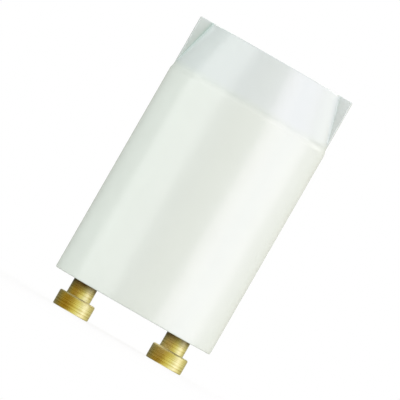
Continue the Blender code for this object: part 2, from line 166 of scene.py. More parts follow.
class StarterPins(bpy.types.PropertyGroup):
    head_height: length("Head height", "Height of a pin's head", 1.95 * MM)
    neck_radius: length("Neck radius", "Radius of a pin's neck", 1.55 * MM)
    shank_radius: length("Shank radius", "Radius of the shank inside the can", 1.05 * MM)
    end_round: length("End round", "Rounding of the head's lower edge", 0.14 * MM)
    head_round: length("Head round", "Rounding of the head's upper edge", 0.2 * MM)
    neck_fillet: length("Neck fillet", "Fillet between head and neck", 0.06 * MM)
    rivet_height: length("Rivet height", "Height of the riveted inner end", 0.6 * MM)
    rivet_radius: length("Rivet radius", "Radius of the riveted inner end", 1.75 * MM)
    bright: colour("Bright brass", "Brass where the tool left it clean", (0.94, 0.85, 0.47))
    dull: colour("Dull brass", "Brass in the slightly tarnished streaks", (0.70, 0.56, 0.22))
    # Painted shade: the brass is painted darker up the neck, under the plate and the can
    painted_neck_shade: colour("Painted_shade", "Darker brass up the neck, under the plate", (0.09, 0.055, 0.024))
    painted_shade_reach: length("Oxide reach", "How far the dark brass comes down from the plate", 1.55 * MM)
    roughness: factor("Roughness", "Roughness of the turned surface", 0.27)
    columns: IntProperty(name="Columns", description="Points round a pin", default=96, min=24)


class StarterInside(bpy.types.PropertyGroup):
    ivory: colour("Plate ivory", "Insulating base plate", (0.72, 0.70, 0.62))
    glass: colour("Glass tint", "Glass of the glow bulb", (0.93, 0.98, 0.97))
    nickel: colour("Nickel", "Electrode strips", (0.62, 0.60, 0.55))
    copper: colour("Copper cladding", "Lead-in wires", (0.64, 0.36, 0.24))
    tin: colour("Tin", "Tinned capacitor leads", (0.70, 0.70, 0.68))
    resin: colour("Resin", "Dipped coating of the capacitor", (0.50, 0.22, 0.06))


class StarterStage(bpy.types.PropertyGroup):
    camera_distance: length("Camera distance", "From the camera to the starter's axis", 2.0)
    frame_width: length("Frame width", "Width of the picture at the starter's axis", 47.41 * MM)
    lean: FloatProperty(
        name="Lean",
        description="Angle of the starter's axis above the picture's lower edge",
        default=math.radians(60.1),
        subtype="ANGLE",
    )
    aim_x: length("Aim X", "Where the middle of the picture is along X", 0.39 * MM)
    aim_z: length("Aim Z", "Where the middle of the picture is along Z", 19.22 * MM)
    key_power: lamp_power("Key lamp", "Power of the right lamp", 2.08)
    soft_key_power: lamp_power("Soft key lamp", "Power of the lamp at the key's left", 1.50)
    fill_power: lamp_power("Fill lamp", "Power of the left lamp", 3.31)
    rim_power: lamp_power("Rim lamp", "Power of the lamp at the right, behind", 0.23)
    back_power: lamp_power("Back lamp", "Power of the lamp behind, above", 1.3)
    low_power: lamp_power("Low lamp", "Power of the lamp under the floor", 1.2)
    room_light: factor("Room light", "Strength of the even light all round", 0.49, high=2.0)
    floor_white: factor("Floor white", "Paleness of the floor", 0.85)
    shadow_share: factor("Shadow share", "How strongly the floor shows the shadow", 0.15)
    floor_size: length("Floor size", "Side of the square floor", 6.0)


def ring_from_quarter(x, y):
    """A whole ring from its first quarter, which runs from +X to +Y: mirrored into the other three."""
    back = slice(None, 0, -1)
    ring_x = np.concatenate((x[:, :-1], -x[:, back], -x[:, :-1], x[:, back]), axis=1)
    ring_y = np.concatenate((y[:, :-1], y[:, back], -y[:, :-1], -y[:, back]), axis=1)
    return ring_x, ring_y


def rings_at(x, y, z):
    """Ring points as one array: rows by columns by x, y and z, each row at its own height."""
    ring_x, ring_y = ring_from_quarter(x, y)
    return np.stack((ring_x, ring_y, np.broadcast_to(z[:, None], ring_x.shape)), axis=-1)


def head_quarter(outer, grip, half, corner, fillet, grip_shares):
    """First quarter of the head's outline at each height.

    It runs round the ear's end on the outer circle, then round the ear's corner on a small circle that
    touches the outer circle and the ear's flat side from within, then along that flat side, then round the
    crease on a small circle that touches the flat side and the grip's circle from outside, and last along
    the grip's circle to +Y. All sizes are arrays with one value for each height.
    """
    outer, grip, half, corner, fillet = (v[:, None] for v in (outer, grip, half, corner, fillet))
    corner_x = np.sqrt((outer - corner) ** 2 - (half - corner) ** 2)
    corner_angle = np.arctan2(half - corner, corner_x)
    crease_x = np.sqrt((grip + fillet) ** 2 - (half + fillet) ** 2)
    crease_angle = np.arctan2(half + fillet, crease_x)
    ear = np.linspace(0, 1, EAR_POINTS, endpoint=False)[None, :]
    small = np.linspace(0, 1, BEND_POINTS, endpoint=False)[None, :]
    end = corner_angle * ear
    bend = corner_angle + (math.pi / 2 - corner_angle) * small
    hollow = -math.pi / 2 + (crease_angle - math.pi / 2) * small
    round_grip = crease_angle + (math.pi / 2 - crease_angle) * grip_shares[None, :]
    x = np.concatenate(
        (
            outer * np.cos(end),
            corner_x + corner * np.cos(bend),
            corner_x + (crease_x - corner_x) * small,
            crease_x + fillet * np.cos(hollow),
            grip * np.cos(round_grip),
        ),
        axis=1,
    )
    y = np.concatenate(
        (
            outer * np.sin(end),
            half - corner + corner * np.sin(bend),
            half + 0 * small,
            half + fillet + fillet * np.sin(hollow),
            grip * np.sin(round_grip),
        ),
        axis=1,
    )
    return x, y


def skin(name, rings, first_pole, last_pole, heights=None):
    """One closed mesh over rings of points, with a fan of triangles from a pole at either end.

    Each quad joins a point to the next one on its ring and to the two above them on the next ring. With
    heights, one number for each ring and pole, the mesh gets a UV map whose U is the share of the way round
    and whose V is that number.
    """
    rows, columns = rings.shape[:2]
    here = np.arange(columns)
    after = (here + 1) % columns
    base = 1 + columns * np.arange(rows - 1)[:, None]
    quads = np.stack((base + here, base + after, base + columns + after, base + columns + here), axis=-1)
    low = np.stack((0 * here, 1 + after, 1 + here), axis=-1)
    top = 1 + columns * (rows - 1)
    high = np.stack((top + here, top + after, 0 * here + 1 + columns * rows), axis=-1)
    points = np.concatenate(([first_pole], rings.reshape(-1, 3), [last_pole]))
    mesh = bpy.data.meshes.new(name)
    faces = low.tolist() + quads.reshape(-1, 4).tolist() + high.tolist()
    mesh.from_pydata(points.tolist(), [], faces)
    if heights is not None:
        u, next_u = here / columns, (here + 1) / columns
        v = np.asarray(heights)
        ring_v = np.broadcast_to(v[1:-1, None], (rows, columns))
        middle_u = (u + next_u) / 2
        low_uv = np.stack((middle_u, 0 * u + v[0], next_u, ring_v[0], u, ring_v[0]), axis=-1)
        left, right = (np.broadcast_to(a, (rows - 1, columns)) for a in (u, next_u))
        quad_uv = np.stack(
            (left, ring_v[:-1], right, ring_v[:-1], right, ring_v[1:], left, ring_v[1:]), axis=-1
        )
        high_uv = np.stack((u, ring_v[-1], next_u, ring_v[-1], middle_u, 0 * u + v[-1]), axis=-1)
        layer = mesh.uv_layers.new(name="turning")
        layer.uv.foreach_set(
            "vector", np.concatenate((low_uv.ravel(), quad_uv.ravel(), high_uv.ravel())).astype(np.float32)
        )
    mesh.shade_smooth()
    mesh.set_sharp_from_angle(angle=SHARP_ANGLE)
    return mesh


def add_piece(name, mesh, finish, slot, *nodes):
    """Puts a new piece into the scene: it rides on the starter and stands for the CAD nodes named."""
    piece = bpy.data.objects.new(name, mesh)
    bpy.context.scene.collection.objects.link(piece)
    mesh.materials.append(finish)
    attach(piece, ROOT)
    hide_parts(*nodes)
    return piece


def quarter_turn(start, end, count):
    """Angles of an arc in radians, from start to end in degrees."""
    return np.radians(np.linspace(start, end, count))


def shade_creases(mesh, rows, columns, first_row, last_row, shape):
    """Writes the painted shade of the creases beside the ears into the mesh, for the head's rows alone. In a
    whole ring the points towards +X have a positive sign, by which each side gets its own strength.
    """
    quarter = np.zeros((rows, columns))
    first = EAR_POINTS + 2 * BEND_POINTS - 1
    quarter[first_row:last_row, first:first + len(CREASE_FADE)] = CREASE_FADE
    signed, _ = ring_from_quarter(quarter, quarter)
    shade = np.abs(signed) * np.where(signed > 0, shape.crease_right, shape.crease_left)
    values = np.concatenate(([0.0], shade.ravel(), [0.0])).astype(np.float32)
    mesh.attributes.new("crease", "FLOAT", "POINT").data.foreach_set("value", values)


def housing_mesh(shape):
    """The whole can as one closed skin of rings, from the middle of its ceiling down the inside, round the
    rim, up the outside and over to the middle of its top.
    """
    radius, rim, top = CAN_HIGH.x, CAN_LOW.z, CAN_HIGH.z
    head = top - shape.head_height
    head_radius = radius - shape.step_depth
    bore = radius - shape.wall
    half = shape.ear_thickness / 2
    start = head + shape.head_land
    slope = shape.grip_depth / (top - start)

    def grip_at(z):
        """Head radius less a ramp that starts as a parabola and goes on as a straight line."""
        s, blend = z - start, shape.grip_blend
        ramp = np.where(s > blend, s, np.clip(s + blend, 0, None) ** 2 / (4 * blend))
        return head_radius - slope * ramp

    # The columns are set by the outline at the top, with extra ones at the sides of the inner ribs
    rib_angle = math.asin(shape.rib_thickness / 2 / bore)
    side = math.radians(0.3)
    middle = math.pi / 4
    before_rib, across_rib, after_rib = 20, 5, 23
    top_grip = grip_at(np.array([top - shape.top_round]))
    crease = math.atan2(half + shape.crease_fillet, math.sqrt(
        (top_grip[0] + shape.crease_fillet) ** 2 - (half + shape.crease_fillet) ** 2
    ))
    grip_angles = np.concatenate((
        np.linspace(crease, middle - rib_angle - side, before_rib, endpoint=False),
        [middle - rib_angle - side],
        np.linspace(middle - rib_angle, middle + rib_angle, across_rib),
        [middle + rib_angle + side],
        np.linspace(middle + rib_angle + side, math.pi / 2, after_rib)[1:],
    ))
    shares = (grip_angles - crease) / (math.pi / 2 - crease)

    def outline(z, inset):
        """A quarter of the head's outline. Its small arcs take up at most a share of the grip's depth."""
        least_corner, most_share = 0.02 * MM, 0.35
        grip = grip_at(z) - inset
        outer = head_radius - inset
        room = most_share * np.clip(outer - grip, 0, None)
        return head_quarter(
            outer,
            grip,
            half - inset,
            np.minimum(np.maximum(shape.ear_round - inset, least_corner), room),
            np.minimum(shape.crease_fillet + inset, room),
            shares,
        )

    # Rings on each stretch of the can's profile, some of which are left out where two stretches meet
    head_rows, edge_rows, cap_rows = 34, 9, 9
    ceiling_rows, cone_rows, lip_rows, rim_rows, can_rows, step_rows = 7, 12, 5, 7, 14, 9

    head_z = np.linspace(start, top - shape.top_round, head_rows)
    head_x, head_y = outline(head_z, np.zeros_like(head_z))
    turn = quarter_turn(10, 90, edge_rows)
    over_z = top - shape.top_round * (1 - np.sin(turn))
    over_x, over_y = outline(over_z, shape.top_round * (1 - np.cos(turn)))
    angle = np.arctan2(head_y[-1:], head_x[-1:])
    cap = np.linspace(1, 0, cap_rows, endpoint=False)[1:, None]
    cap_x, cap_y = cap * over_x[-1:], cap * over_y[-1:]

    def plain(radii, z):
        """Rings of given radius: one value for a row, or one for each of its points."""
        radii = radii if radii.ndim == 2 else radii[:, None]
        return rings_at(radii * np.cos(angle), radii * np.sin(angle), z)

    ceiling = top - shape.top_thickness
    mouth = bore - shape.lip_depth
    lip = rim + shape.lip_height
    cone_low = head - shape.step_depth
    ceiling_radius = float(grip_at(np.array([ceiling]))[0]) - shape.wall
    inner_cap = np.linspace(0, ceiling_radius, ceiling_rows)[1:]
    inner_cone = np.linspace(ceiling_radius, bore, cone_rows)[1:]
    inner_cone_z = np.linspace(ceiling, cone_low, cone_rows)[1:]
    rib_end = 0.05 * MM
    rib_high = head - shape.rib_margin
    rib_low = PLATE_HIGH.z + shape.seat_gap
    on_rib = np.abs(angle - middle) < rib_angle + side / 2
    bare = np.full_like(angle, bore)
    ribbed = np.where(on_rib, bore - shape.rib_depth, bore)
    rib_radii = np.concatenate((bare, ribbed, ribbed, bare))
    rib_z = np.array([rib_high, rib_high - rib_end, rib_low + rib_end, rib_low])
    lip_turn = quarter_turn(180, 270, lip_rows)
    rim_turn = quarter_turn(-90, 0, rim_rows)
    step_share = np.linspace(0, 1, step_rows)
    inside = [
        plain(inner_cap, np.full_like(inner_cap, ceiling)),
        plain(inner_cone, inner_cone_z),
        plain(rib_radii, rib_z),
        plain(np.array([bore, mouth]), np.array([lip, lip])),
        plain(
            mouth + shape.lip_round * (1 + np.cos(lip_turn)),
            rim + shape.lip_round * (1 + np.sin(lip_turn)),
        ),
    ]
    can_z = np.linspace(rim + shape.rim_round, head - shape.step_height, can_rows)[1:-1]
    outside = [
        plain(
            radius - shape.rim_round * (1 - np.cos(rim_turn)),
            rim + shape.rim_round * (1 + np.sin(rim_turn)),
        ),
        plain(np.full_like(can_z, radius), can_z),
        plain(
            radius - shape.step_depth * (1 - np.cos(math.pi * step_share)) / 2,
            head - shape.step_height * (1 - step_share),
        ),
        plain(np.full(2, head_radius), np.array([head + shape.head_land / 3, head + shape.head_land / 1.5])),
        rings_at(head_x, head_y, head_z),
        rings_at(over_x, over_y, over_z),
        rings_at(cap_x, cap_y, np.full(len(cap), top)),
    ]
    rings = np.concatenate(inside + outside)
    mesh = skin("housing_skin", rings, (0, 0, ceiling), (0, 0, top))
    last = len(rings) - len(cap)
    first = last - len(over_z) - len(head_z)
    shade_creases(mesh, len(rings), angle.shape[1], first, last, shape)
    return mesh


def pin_mesh(name, shape):
    """A turned pin: the profile is a chain of arcs and straight lines, and each of its points gives a ring
    of that radius at that height round the pin's own axis. V of its UV map is the way along the profile in
    millimetres.
    """
    low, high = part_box(name)
    middle = (low + high) / 2
    head = (high.x - low.x) / 2
    end, shoulder, fillet = shape.end_round, shape.head_round, shape.neck_fillet
    foot = low.z + shape.head_height
    below_plate = 0.02 * MM
    neck_top = PLATE_LOW.z - below_plate
    rivet = high.z - shape.rivet_height
    lower, upper = quarter_turn(-90, 0, 7), quarter_turn(0, 90, 8)
    hollow, crown = quarter_turn(270, 180, 8), quarter_turn(0, 80, 9)
    end_rings, neck_rings, shank_rings = 10, 4, 4
    radii = np.concatenate((
        np.linspace(0, head - end, end_rings + 2)[1:-1],
        head - end + end * np.cos(lower),
        head - shoulder + shoulder * np.cos(upper),
        shape.neck_radius + fillet + fillet * np.cos(hollow),
        [shape.neck_radius] * neck_rings,
        [shape.shank_radius] * shank_rings,
        shape.rivet_radius * np.cos(crown),
    ))
    z = np.concatenate((
        np.full(end_rings, low.z),
        low.z + end + end * np.sin(lower),
        foot - shoulder + shoulder * np.sin(upper),
        foot + fillet + fillet * np.sin(hollow),
        np.linspace(foot + fillet, neck_top, neck_rings + 1)[1:],
        np.linspace(neck_top, rivet, shank_rings),
        rivet + shape.rivet_height * np.sin(crown),
    ))
    around = np.linspace(0, math.tau, shape.columns, endpoint=False)
    rings = np.stack(
        (
            middle.x + radii[:, None] * np.cos(around),
            middle.y + radii[:, None] * np.sin(around),
            np.broadcast_to(z[:, None], (len(z), shape.columns)),
        ),
        axis=-1,
    )
    profile_r = np.concatenate(([0.0], radii, [0.0]))
    profile_z = np.concatenate(([low.z], z, [high.z]))
    along = np.concatenate(([0.0], np.cumsum(np.hypot(np.diff(profile_r), np.diff(profile_z))))) / MM
    poles = [(middle.x, middle.y, low.z), (middle.x, middle.y, high.z)]
    return skin(f"{name}_turned", rings, *poles, heights=along)


class Finish:
    """A material under construction: short calls that add its nodes and join them up."""

    def __init__(self, name):
        self.material = bpy.data.materials.new(name)
        self.material.use_nodes = True
        self.tree = self.material.node_tree
        self.shader = self.tree.nodes["Principled BSDF"]

    def node(self, kind, inputs=None, **settings):
        """Adds a node with its settings. An input that is a socket is linked, and any other is set."""
        made = self.tree.nodes.new(kind)
        for key, value in settings.items():
            setattr(made, key, value)
        for key, value in (inputs or {}).items():
            if isinstance(value, bpy.types.NodeSocket):
                self.tree.links.new(value, made.inputs[key])
            else:
                made.inputs[key].default_value = value
        return made

    def set(self, **values):
        """Sets inputs of the shader. An underscore stands for the space in an input's name."""
        for key, value in values.items():
            self.shader.inputs[key.replace("_", " ")].default_value = value

    def place(self, stretch=(1.0, 1.0, 1.0)):
        """Object coordinates in metres, stretched along the axes."""
        where = self.node("ShaderNodeTexCoord").outputs["Object"]
        return self.node("ShaderNodeMapping", {"Vector": where, "Scale": stretch}).outputs["Vector"]

    def noise(self, vector, scale, detail=3.0, roughness=0.5):
        """Noise with about so many lumps in a metre, or in a unit of the stretched vector."""
        inputs = {"Vector": vector, "Scale": scale, "Detail": detail, "Roughness": roughness}
        return self.node("ShaderNodeTexNoise", inputs).outputs["Fac"]

    def span(self, value, low, high, start=0.0, end=1.0):
        """The value carried from start..end to low..high, and held there beyond them."""
        inputs = {"Value": value, "From Min": start, "From Max": end, "To Min": low, "To Max": high}
        return self.node("ShaderNodeMapRange", inputs).outputs["Result"]

    def spread(self, noise, low, high):
        """A noise value, which mostly runs from 0.3 to 0.7, carried to low..high."""
        return self.span(noise, low, high, 0.3, 0.7)

    def calc(self, operation, *values):
        """One step of arithmetic on numbers and sockets."""
        return self.node("ShaderNodeMath", dict(enumerate(values)), operation=operation).outputs[0]

    def mix(self, share, first, second):
        """From the first colour to the second by a share; each is a colour or a socket."""
        first, second = (
            c if isinstance(c, bpy.types.NodeSocket) else (*c, 1.0) for c in (first, second)
        )
        made = self.node("ShaderNodeMix", data_type="RGBA")
        for key, value in ((0, share), (6, first), (7, second)):
            if isinstance(value, bpy.types.NodeSocket):
                self.tree.links.new(value, made.inputs[key])
            else:
                made.inputs[key].default_value = value
        return made.outputs[2]

    def height_of(self, vector, axis="Z"):
        """How far up a place is, or its other coordinate where an axis is named."""
        return self.node("ShaderNodeSeparateXYZ", {"Vector": vector}).outputs[axis]

    def bump(self, height, distance, strength, under=None):
        """The normal of a relief, laid over the normal under it where one is given."""
        inputs = {"Height": height, "Distance": distance, "Strength": strength}
        if under is not None:
            inputs["Normal"] = under
        return self.node("ShaderNodeBump", inputs).outputs["Normal"]

    def join(self, **sockets):
        """Links sockets to inputs of the shader and hands the material over."""
        for key, socket in sockets.items():
            self.tree.links.new(socket, self.shader.inputs[key.replace("_", " ")])
        return self.material


def moulded_white(shape):
    """White moulded plastic: faint clouds in the colour, painted light that makes the foot paler, a cooler
    head with a matt top, painted shade in the creases beside the ears, and a fine grain from the mould.
    """
    made = Finish("moulded_white")
    made.set(IOR=1.585, Specular_IOR_Level=0.55)
    where = made.place()
    up = made.height_of(where)
    top = CAN_HIGH.z
    step = top - shape.head_height

    collar_blend = 0.35 * MM
    head_start, head_full = 0.1 * MM, 0.8 * MM
    above = made.span(up, 0.0, 1.0, step - collar_blend, step + collar_blend)
    on_head = made.span(up, 0.0, 1.0, step + head_start, step + head_full)
    # Painted light: the can's white is painted lighter towards its foot
    off_foot = made.span(up, 0.0, 1.0, CAN_LOW.z, CAN_LOW.z + shape.painted_light_reach)
    can = made.mix(off_foot, Vector(shape.painted_foot_light), Vector(shape.body_colour))
    white = made.mix(above, can, Vector(shape.collar_colour))
    white = made.mix(on_head, white, Vector(shape.head_colour))

    clouds = made.noise(where, 170.0, detail=2.0)
    cloud = made.spread(clouds, 1.0, 0.985)
    clouded = made.node("ShaderNodeVectorMath", {0: white, "Scale": cloud}, operation="SCALE")
    # Painted shade in the creases beside the ears, read from the mesh's crease attribute
    crease = made.node("ShaderNodeAttribute", attribute_name="crease").outputs["Fac"]

    # The sides stay smoother than 0.274, from where on the denoised picture shows specks
    speckle = made.noise(where, 2600.0, detail=2.0)
    fine = made.spread(speckle, shape.roughness - 0.022, shape.roughness + 0.01)
    matt = shape.top_roughness - shape.roughness
    matt_start, matt_full = top - 0.02 * MM, top - 0.005 * MM
    on_top = made.span(up, 0.0, matt, matt_start, matt_full)

    ripple = made.noise(where, 420.0, detail=1.0)
    grain = made.noise(where, 9000.0, detail=2.0)
    normal = made.bump(ripple, 0.02 * MM, 0.25)
    normal = made.bump(grain, 0.01 * MM, shape.grain, under=normal)
    return made.join(
        Base_Color=made.mix(crease, clouded.outputs["Vector"], Vector(shape.painted_crease_shade)),
        Roughness=made.calc("ADD", fine, on_top),
        Normal=normal,
    )


def turned_brass(shape):
    """Turned brass: rings left by the tool run round the pin, from one-way noise along the profile. Painted
    shade makes it dark up the neck under the can, with an uneven edge.
    """
    made = Finish("turned_brass")
    chart = made.node("ShaderNodeUVMap", uv_map="turning").outputs["UV"]
    along = made.height_of(chart, axis="Y")

    def rings(per_mm, detail):
        place = made.calc("MULTIPLY", along, per_mm)
        inputs = {"W": place, "Scale": 1.0, "Detail": detail, "Roughness": 0.6}
        return made.node("ShaderNodeTexNoise", inputs, noise_dimensions="1D").outputs["Fac"]

    coarse, fine = rings(5.0, 2.0), rings(26.0, 3.0)
    # Noise for the tarnished streaks, and for the uneven edge of the painted shade up the neck
    tarnish_and_shade_edge = made.noise(made.place(), 700.0, detail=4.0)
    share = made.calc("MULTIPLY", coarse, tarnish_and_shade_edge)
    made.set(Metallic=1.0, Anisotropic=0.55, Anisotropic_Rotation=0.25)
    round_the_pin = made.node("ShaderNodeTangent", direction_type="UV_MAP", uv_map="turning")
    normal = made.bump(coarse, 0.02 * MM, 0.28)
    normal = made.bump(fine, 0.006 * MM, 0.4, under=normal)
    brass = made.mix(made.span(share, 0.0, 1.0, 0.14, 0.42), Vector(shape.bright), Vector(shape.dull))
    # Painted shade up the neck towards the plate, its edge made uneven by the same noise
    up = made.height_of(made.place())
    unevenness, darkest = 0.9 * MM, 0.5 * MM
    patchy = made.calc("MULTIPLY_ADD", tarnish_and_shade_edge, unevenness, up)
    darker = made.span(patchy, 0.0, 1.0, PLATE_LOW.z - shape.painted_shade_reach, PLATE_LOW.z - darkest)
    return made.join(
        Base_Color=made.mix(darker, brass, Vector(shape.painted_neck_shade)),
        Roughness=made.spread(fine, shape.roughness - 0.06, shape.roughness + 0.1),
        Normal=normal,
        Tangent=round_the_pin.outputs["Tangent"],
    )


def sheet_brass(shape):
    """Stamped sheet brass with the fine straight lines of rolling along Y."""
    made = Finish("sheet_brass")
    lines = made.noise(made.place((9000.0, 500.0, 3000.0)), 1.0, detail=2.0)
    stain = made.noise(made.place(), 500.0, detail=3.0)
    made.set(Metallic=1.0)
    return made.join(
        Base_Color=made.mix(made.span(stain, 0.0, 1.0, 0.35, 0.7), Vector(shape.bright), Vector(shape.dull)),
        Roughness=made.spread(lines, 0.25, 0.42),
        Normal=made.bump(lines, 0.01 * MM, 0.4),
    )


def insulating_plate(inside):
    """Matt moulded plate: mottled ivory with a dull grain."""
    made = Finish("insulating_plate")
    where = made.place()
    mottle = made.noise(where, 600.0, detail=4.0)
    grain = made.noise(where, 6000.0, detail=2.0)
    ivory = Vector(inside.ivory)
    return made.join(
        Base_Color=made.mix(made.spread(mottle, 0.0, 1.0), ivory, ivory * 0.9),
        Roughness=made.spread(grain, 0.5, 0.62),
        Normal=made.bump(grain, 0.015 * MM, 0.3),
    )


def bulb_glass(inside):
    """Thin clear glass with a slight waviness, and a tint that deepens with it."""
    made = Finish("bulb_glass")
    where = made.place()
    wave = made.noise(where, 300.0, detail=1.0)
    tint = Vector(inside.glass)
    made.set(IOR=1.5, Transmission_Weight=1.0)
    return made.join(
        Base_Color=made.mix(made.span(wave, 0.0, 1.0, 0.35, 0.75), tint, tint * 0.85),
        Roughness=made.spread(wave, 0.01, 0.05),
        Normal=made.bump(wave, 0.1 * MM, 0.2),
    )


def drawn_metal(name, tone, low, high):
    """Drawn or rolled metal: streaks that run up the piece, and a light stain."""
    made = Finish(name)
    streak = made.noise(made.place((6000.0, 6000.0, 350.0)), 1.0, detail=2.0)
    stain = made.noise(made.place(), 900.0, detail=3.0)
    bright = Vector(tone)
    made.set(Metallic=1.0)
    return made.join(
        Base_Color=made.mix(made.span(stain, 0.0, 1.0, 0.35, 0.7), bright, bright * 0.72),
        Roughness=made.spread(streak, low, high),
        Normal=made.bump(streak, 0.008 * MM, 0.4),
    )


def dipped_resin(inside):
    """Resin that the capacitor was dipped in: sagging waves under a half gloss."""
    made = Finish("dipped_resin")
    where = made.place()
    waves = made.noise(where, 260.0, detail=1.0)
    specks = made.noise(where, 3500.0, detail=3.0)
    resin = Vector(inside.resin)
    return made.join(
        Base_Color=made.mix(made.span(specks, 0.0, 1.0, 0.35, 0.7), resin, resin * 0.7),
        Roughness=made.spread(specks, 0.32, 0.48),
        Normal=made.bump(waves, 0.2 * MM, 0.35),
    )


def refinish(node, material):
    """Gives a CAD node that stays in view its own finish."""
    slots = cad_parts[node].data.materials
    slots.clear()
    slots.append(material)


class STARTER_OT_housing(bpy.types.Operator):
    """Make the moulded can with its gripping head"""

    bl_idname = "starter.housing"
    bl_label = "Housing"

    def execute(self, context):
        shape = context.scene.starter_housing
        add_piece("housing_skin", housing_mesh(shape), moulded_white(shape), "white_moulding", "housing")
        return {"FINISHED"}


class STARTER_OT_pins(bpy.types.Operator):
    """Make the two turned contact pins"""

    bl_idname = "starter.pins"
    bl_label = "Contact pins"

    def execute(self, context):
        shape = context.scene.starter_pins
        brass = turned_brass(shape)
        for name in PINS:
            pin = add_piece(f"{name}_turned", pin_mesh(name, shape), brass, "turned_brass", name)
            pin.visible_glossy = False
        return {"FINISHED"}


class STARTER_OT_inside(bpy.types.Operator):
    """Finish the base plate, the glow switch and the capacitor"""

    bl_idname = "starter.inside"
    bl_label = "Plate and inside"

    def execute(self, context):
        inside = context.scene.starter_inside
        refinish("base_plate", insulating_plate(inside))
        refinish("glow_bulb", bulb_glass(inside))
        refinish("bimetal_strip", drawn_metal("bimetal", inside.nickel, 0.3, 0.45))
        refinish("fixed_electrode", drawn_metal("electrode_nickel", inside.nickel, 0.28, 0.4))
        refinish("capacitor_body", dipped_resin(inside))
        brass = sheet_brass(context.scene.starter_pins)
        copper = drawn_metal("clad_wire", inside.copper, 0.25, 0.4)
        tinned = drawn_metal("tinned_wire", inside.tin, 0.2, 0.35)
        for side in ("left", "right"):
            refinish(f"terminal_tag_{side}", brass)
            refinish(f"lead_in_wire_{side}", copper)
            refinish(f"capacitor_lead_{side}", tinned)
        return {"FINISHED"}


def area_lamp(name, place, width, height, power, tone=WHITE):
    """A soft lamp of that width and height, turned towards the middle of the can."""
    data = bpy.data.lights.new(name, "AREA")
    data.shape = "RECTANGLE"
    data.size = width
    data.size_y = height
    data.energy = power
    data.color = tone
    lamp = bpy.data.objects.new(name, data)
    bpy.context.scene.collection.objects.link(lamp)
    lamp.location = place
    aim = Vector((0, 0, CAN_MIDDLE))
    lamp.rotation_euler = (aim - Vector(place)).to_track_quat("-Z", "Y").to_euler()
    return lamp


def all_but(name, pieces):
    """A light-linking collection that stands for everything but the pieces."""
    kept = bpy.data.collections.new(name)
    for piece in pieces:
        kept.objects.link(piece)
    for left_out in kept.collection_objects:
        left_out.light_linking.link_state = "EXCLUDE"
    return kept


def round_about(degrees, distance, height):
    """A place beside the starter: degrees run from the camera's side (0) towards +X (90)."""
    a = math.radians(degrees)
    return (distance * math.sin(a), -distance * math.cos(a), height)


def stage_mesh(name, corners, faces, material):
    """A piece of the stage from its corners."""
    mesh = bpy.data.meshes.new(name)
    mesh.from_pydata(corners.tolist(), [], faces.tolist())
    mesh.materials.append(material)
    piece = bpy.data.objects.new(name, mesh)
    bpy.context.scene.collection.objects.link(piece)
    return piece


def flat_floor(size, material):
    """A flat square floor at the height of the pin ends. Reflections look past it at the round card."""
    corners = np.array([(-1, -1, 0), (1, -1, 0), (1, 1, 0), (-1, 1, 0)]) * (size / 2)
    floor = stage_mesh("floor", corners, np.array([(0, 1, 2, 3)]), material)
    floor.visible_glossy = False
    return floor


def round_card(name, distance, height, tones):
    """A card bent into a closed cylinder round the starter. Its corners are the sine and cosine of each
    direction, half its height below the floor and half above it, and its colour runs evenly between the tones
    given. Only reflections show it, and it throws no shadow.
    """
    stops, colours = (np.array(part, float) for part in zip(*tones))
    panel_width = 4
    degrees = np.arange(stops[0], stops[0] + 360, panel_width)
    a = np.radians(degrees)
    foot = np.stack((distance * np.sin(a), -distance * np.cos(a), np.full_like(a, -height / 2)), axis=-1)
    corners = np.concatenate((foot, foot + (0, 0, height)))
    here = np.arange(len(a))
    after = (here + 1) % len(a)
    faces = np.stack((here, after, after + len(a), here + len(a)), axis=-1)
    made = Finish(f"{name}_tone")
    made.set(Base_Color=(0, 0, 0, 1), Roughness=1.0, Specular_IOR_Level=0.0, Emission_Strength=1.0)
    painted = made.node("ShaderNodeAttribute", attribute_name="tone").outputs["Color"]
    made.material.cycles.emission_sampling = "NONE"
    card = stage_mesh(name, corners, faces, made.join(Emission_Color=painted))
    tone = np.ones((len(a), 4), np.float32)
    for channel in range(3):
        tone[:, channel] = np.interp(degrees, stops, colours[:, channel])
    paint = card.data.attributes.new("tone", "FLOAT_COLOR", "POINT")
    paint.data.foreach_set("color", np.tile(tone.ravel(), 2))
    for kind in ("camera", "diffuse", "transmission", "shadow", "volume_scatter"):
        setattr(card, f"visible_{kind}", False)
    return card


def add_world(stage):
    """White to the camera, in reflections and through glass, and an even pale light for everything else."""
    world = bpy.data.worlds.new("studio")
    bpy.context.scene.world = world
    world.use_nodes = True
    tree = world.node_tree
    tree.nodes.clear()
    path = tree.nodes.new("ShaderNodeLightPath")
    seen = tree.nodes.new("ShaderNodeMath")
    seen.operation = "MAXIMUM"
    either = tree.nodes.new("ShaderNodeMath")
    either.operation = "MAXIMUM"
    tree.links.new(path.outputs["Is Camera Ray"], seen.inputs[0])
    tree.links.new(path.outputs["Is Glossy Ray"], seen.inputs[1])
    tree.links.new(seen.outputs[0], either.inputs[0])
    tree.links.new(path.outputs["Is Transmission Ray"], either.inputs[1])
    room = tree.nodes.new("ShaderNodeBackground")
    room.inputs["Color"].default_value = (*WHITE, 1.0)
    room.inputs["Strength"].default_value = stage.room_light
    white = tree.nodes.new("ShaderNodeBackground")
    white.inputs["Color"].default_value = (*WHITE, 1.0)
    join = tree.nodes.new("ShaderNodeMixShader")
    out = tree.nodes.new("ShaderNodeOutputWorld")
    tree.links.new(either.outputs[0], join.inputs[0])
    tree.links.new(room.outputs[0], join.inputs[1])
    tree.links.new(white.outputs[0], join.inputs[2])
    tree.links.new(join.outputs[0], out.inputs["Surface"])


